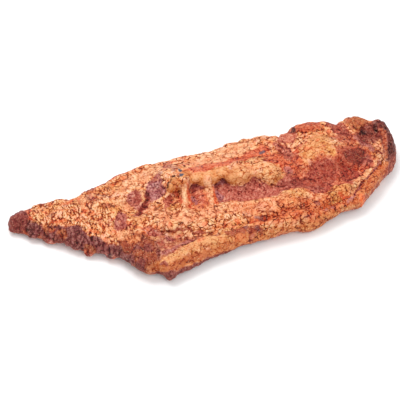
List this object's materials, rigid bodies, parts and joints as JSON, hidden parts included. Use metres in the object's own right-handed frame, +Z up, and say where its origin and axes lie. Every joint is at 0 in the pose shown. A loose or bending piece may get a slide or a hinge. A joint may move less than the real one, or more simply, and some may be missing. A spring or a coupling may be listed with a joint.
{
  "type": "smoked pork ribs",
  "caption": "Whole slab of smoked pork ribs lying with its inner side up: a thin pointed tip, a scalloped ridge over the ribs, lumpy fat, a rolled front rim and a curled broad end.",
  "frame": {"origin": "middle of the slab's box, on the surface that it rests on", "axes": "+X along the slab from its thin tip to its broad end, +Y across it from the cut rib tips to the back, +Z up"},
  "size_m": [0.4613, 0.1899, 0.0401],
  "materials": {
    "smoked_pork": "smoked fat and lean meat: uneven, golden orange to burgundy, with a slight greasy sheen"
  },
  "bodies": {
    "root": {"rib_slab": "smoked_pork"}
  },
  "joints": []
}
